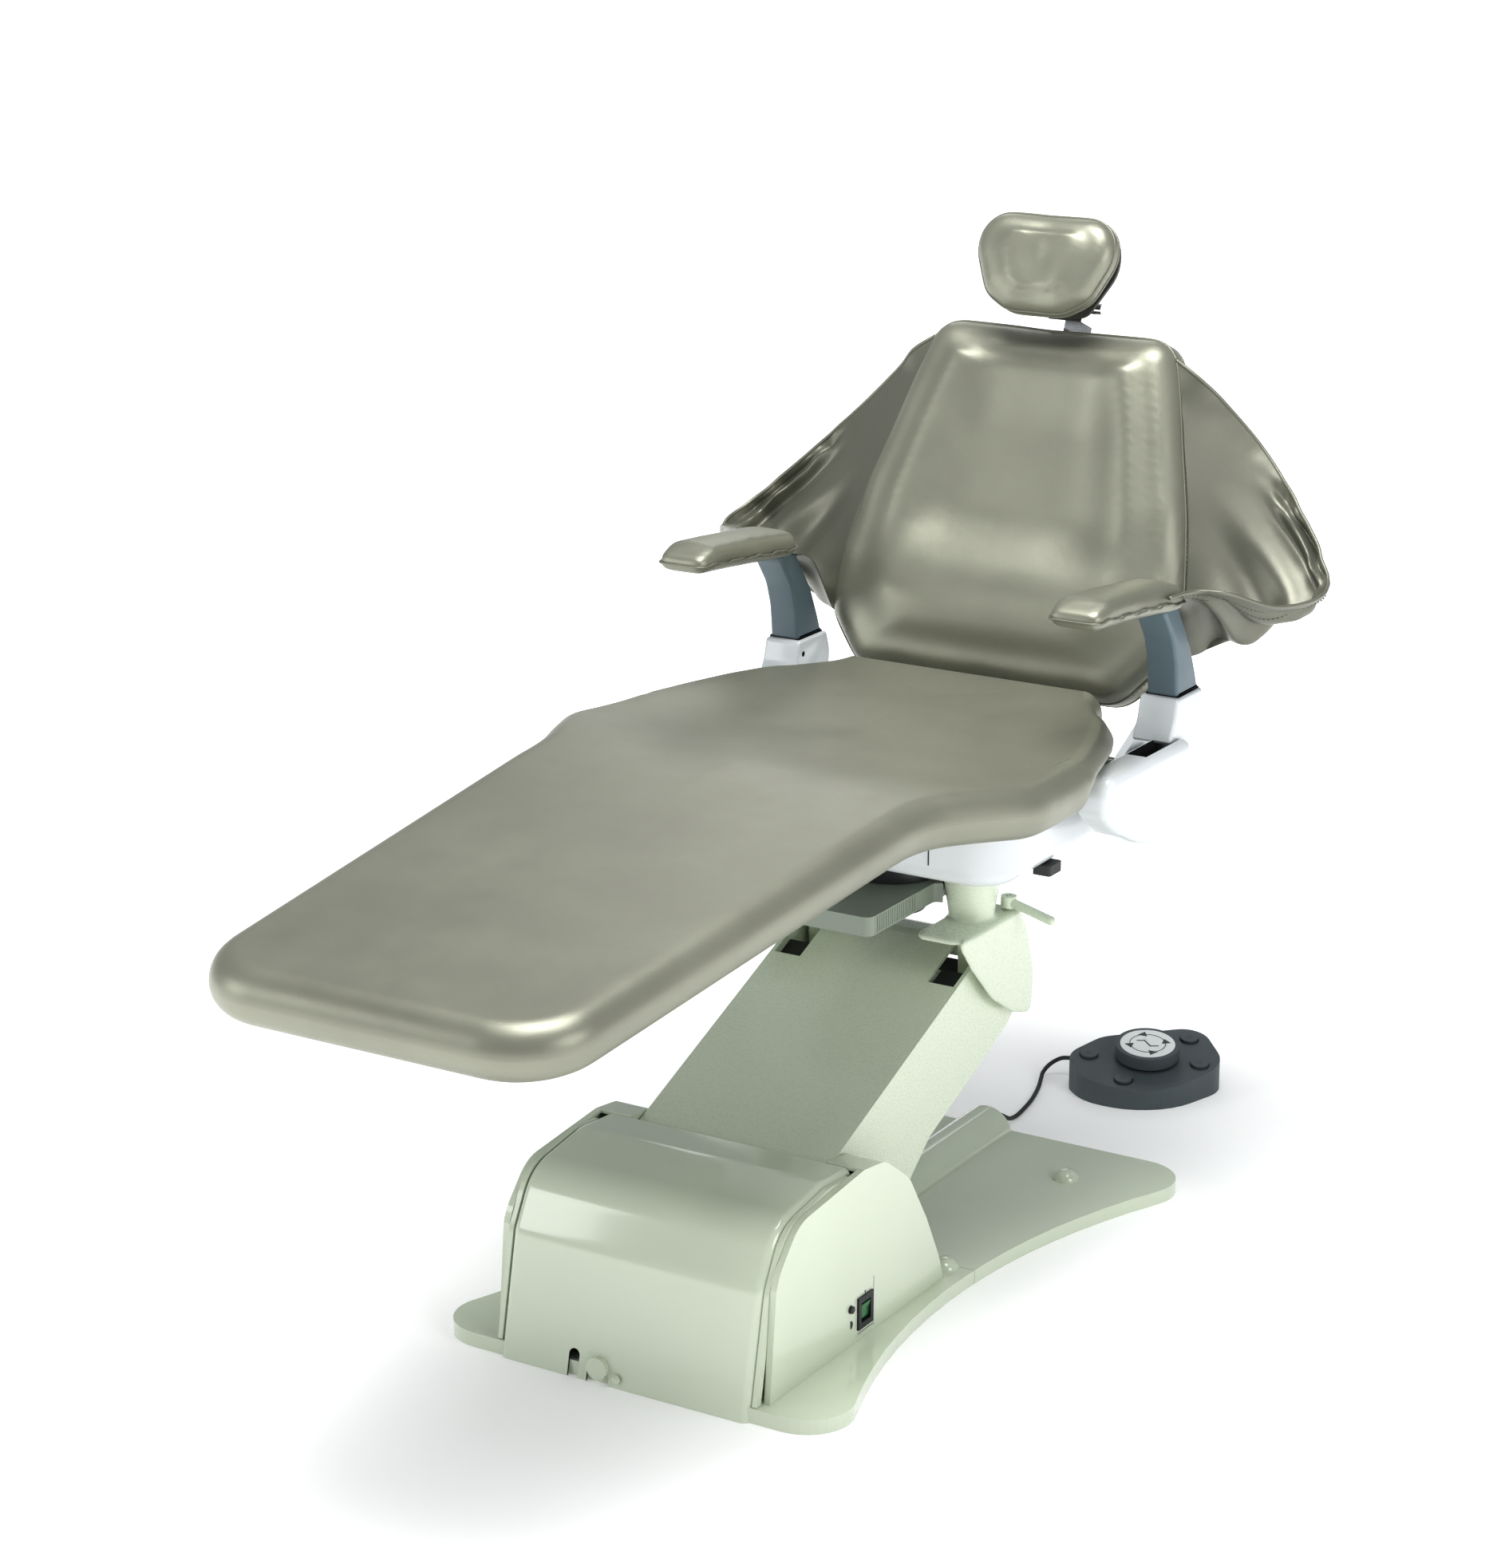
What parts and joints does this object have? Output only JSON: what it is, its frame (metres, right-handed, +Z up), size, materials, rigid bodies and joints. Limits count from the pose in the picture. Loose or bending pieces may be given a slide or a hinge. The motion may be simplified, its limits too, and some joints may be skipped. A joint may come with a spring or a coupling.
{
  "type": "dental chair",
  "caption": "Patient chair for dentistry: floor plate, covered lift arm, swivelling seat, reclining back with fabric side slings, armrests, jointed headrest, foot control.",
  "frame": {"origin": "on the floor, at the centre of the four floor-anchor holes", "axes": "+Z up; +Y from the toe end to the head end; +X to the patient's left"},
  "size_m": [0.9464, 1.9314, 1.3528],
  "materials": {
    "cream_paint": "gloss",
    "cream_plastic": "gloss",
    "steel": "satin",
    "slate_paint": "satin",
    "blue_grey": "satin",
    "dark_plastic": "satin",
    "bearing_steel": "satin",
    "green_plastic": "gloss",
    "white_plastic": "gloss",
    "white_paint": "gloss",
    "rubber": "matt",
    "shell_plastic": "matt",
    "upholstery": "satin, vinyl-coated",
    "slate_plastic": "satin"
  },
  "bodies": {
    "base": {"base_plate_front": "cream_paint", "base_plate_rear": "cream_paint", "anchor_caps": "cream_plastic", "base_front_cover": "cream_plastic", "side_cover_left": "cream_plastic", "side_cover_right": "cream_plastic", "cover_trims": "cream_plastic", "service_cap": "cream_plastic", "base_frame": "steel", "arm_pivot_shaft": "steel", "pump_unit": "slate_paint", "oil_tank": "blue_grey", "conduit_cover": "cream_paint", "cord_gland": "dark_plastic", "switch_bezel": "dark_plastic", "foot_control_body": "slate_plastic", "foot_cord_relief": "rubber", "foot_cord": "rubber"},
    "power_rocker": {"power_rocker": "green_plastic"},
    "reset_button": {"reset_button": "dark_plastic"},
    "lift_arm": {"lift_arm": "cream_paint"},
    "parallel_links": {"parallel_links": "steel"},
    "head": {"head_yoke": "cream_paint", "head_top_plate": "cream_paint", "head_wings": "cream_plastic", "head_pivot_shaft": "steel", "swivel_cap": "dark_plastic"},
    "cylinder_barrel": {"cylinder_barrel": "slate_paint"},
    "piston_rod": {"piston_rod": "steel"},
    "brake_lever": {"brake_lever": "cream_paint"},
    "seat": {"seat_frame": "white_plastic", "swivel_bearing": "bearing_steel", "pod_left": "white_plastic", "pod_right": "white_plastic", "recline_shaft": "steel", "rubber_stop": "rubber", "seat_board": "shell_plastic", "seat_cushion": "upholstery"},
    "backrest": {"backrest_frame": "white_paint", "backrest_shell": "shell_plastic", "backrest_cushion": "upholstery", "sling_left": "upholstery", "sling_right": "upholstery"},
    "armrest_left": {"armrest_socket_left": "white_plastic", "armrest_post_left": "blue_grey", "armrest_pad_left": "upholstery"},
    "armrest_right": {"armrest_socket_right": "white_plastic", "armrest_post_right": "blue_grey", "armrest_pad_right": "upholstery"},
    "headrest_bar": {"headrest_bar": "steel"},
    "headrest_arm": {"headrest_arm": "steel"},
    "headrest": {"headrest_shell": "shell_plastic", "headrest_cushion": "upholstery"},
    "foot_gimbal": {"foot_gimbal": "steel"},
    "foot_disc": {"foot_disc": "dark_plastic"},
    "foot_button_1": {"foot_button_1": "slate_plastic"},
    "foot_button_2": {"foot_button_2": "slate_plastic"},
    "foot_button_3": {"foot_button_3": "slate_plastic"},
    "foot_button_4": {"foot_button_4": "slate_plastic"}
  },
  "joints": [
    {"name": "power_switch", "type": "hinge", "parent": "base", "child": "power_rocker", "pos_m": [0.199, -0.426, 0.058], "axis": [0, 1, 0], "range_deg": [-14, 0]},
    {"name": "reset_push", "type": "slide", "parent": "base", "child": "reset_button", "axis": [-1, 0, 0], "range_m": [0, 0.003], "stiffness_N_per_m": 300},
    {"name": "lift", "type": "hinge", "parent": "base", "child": "lift_arm", "pos_m": [0, -0.42, 0.16], "axis": [1, 0, 0], "range_deg": [-28, 2]},
    {"name": "link_turn", "type": "hinge", "parent": "base", "child": "parallel_links", "pos_m": [0, -0.4, 0.11], "axis": [1, 0, 0], "range_deg": [-28.5, 2.5]},
    {"name": "head_level", "type": "hinge", "parent": "lift_arm", "child": "head", "pos_m": [0, 0.03, 0.344], "axis": [1, 0, 0], "range_deg": [-2.5, 28.5]},
    {"name": "cylinder_turn", "type": "hinge", "parent": "base", "child": "cylinder_barrel", "pos_m": [0, -0.6, 0.055], "axis": [1, 0, 0], "range_deg": [-8, 1]},
    {"name": "piston_stroke", "type": "slide", "parent": "cylinder_barrel", "child": "piston_rod", "axis": [0, 0.9934, 0.1149], "range_m": [-0.052, 0.005]},
    {"name": "brake_turn", "type": "hinge", "parent": "head", "child": "brake_lever", "pos_m": [0.15, 0.062, 0.464], "axis": [0, 0, 1], "range_deg": [-18, 18]},
    {"name": "seat_swivel", "type": "hinge", "parent": "head", "child": "seat", "pos_m": [0, 0, 0.52], "axis": [0, 0, 1], "range_deg": [-30, 30]},
    {"name": "recline", "type": "hinge", "parent": "seat", "child": "backrest", "pos_m": [0, 0.235, 0.625], "axis": [-1, 0, 0], "range_deg": [-2, 58]},
    {"name": "armrest_left_turn", "type": "hinge", "parent": "backrest", "child": "armrest_left", "pos_m": [0, 0.235, 0.625], "axis": [-1, 0, 0], "range_deg": [-35.5, 1.8]},
    {"name": "armrest_right_turn", "type": "hinge", "parent": "backrest", "child": "armrest_right", "pos_m": [0, 0.235, 0.625], "axis": [-1, 0, 0], "range_deg": [-35.5, 1.8]},
    {"name": "headrest_height", "type": "slide", "parent": "backrest", "child": "headrest_bar", "axis": [0, 0.3778, 0.9259], "range_m": [0, 0.1]},
    {"name": "headrest_lower", "type": "hinge", "parent": "headrest_bar", "child": "headrest_arm", "pos_m": [0, 0.49348, 1.21076], "axis": [1, 0, 0], "range_deg": [-25, 3]},
    {"name": "headrest_upper", "type": "hinge", "parent": "headrest_arm", "child": "headrest", "pos_m": [0, 0.46854, 1.2555], "axis": [1, 0, 0], "range_deg": [-30, 4]},
    {"name": "disc_tilt_fore", "type": "hinge", "parent": "base", "child": "foot_gimbal", "pos_m": [0.11048, 0.6112, 0.05293], "axis": [0.8572, 0.515, 0], "range_deg": [-2.4, 2.4], "stiffness_Nm_per_rad": 1},
    {"name": "disc_tilt_side", "type": "hinge", "parent": "foot_gimbal", "child": "foot_disc", "pos_m": [0.11048, 0.6112, 0.05293], "axis": [-0.5087, 0.8466, 0.1564], "range_deg": [-2.4, 2.4], "stiffness_Nm_per_rad": 1},
    {"name": "foot_push_1", "type": "slide", "parent": "base", "child": "foot_button_1", "axis": [-0.0806, 0.1341, -0.9877], "range_m": [0, 0.003], "stiffness_N_per_m": 500},
    {"name": "foot_push_2", "type": "slide", "parent": "base", "child": "foot_button_2", "axis": [-0.0806, 0.1341, -0.9877], "range_m": [0, 0.003], "stiffness_N_per_m": 500},
    {"name": "foot_push_3", "type": "slide", "parent": "base", "child": "foot_button_3", "axis": [-0.0806, 0.1341, -0.9877], "range_m": [0, 0.003], "stiffness_N_per_m": 500},
    {"name": "foot_push_4", "type": "slide", "parent": "base", "child": "foot_button_4", "axis": [-0.0806, 0.1341, -0.9877], "range_m": [0, 0.003], "stiffness_N_per_m": 500}
  ],
  "couplings": [
    {"joint": "link_turn", "follows": "lift", "ratio": 1},
    {"joint": "head_level", "follows": "lift", "ratio": -1},
    {"joint": "cylinder_turn", "follows": "lift", "ratio": 0.26},
    {"joint": "piston_stroke", "follows": "lift", "m_per_rad": 0.094},
    {"joint": "armrest_left_turn", "follows": "recline", "ratio": -0.6},
    {"joint": "armrest_right_turn", "follows": "recline", "ratio": -0.6}
  ]
}
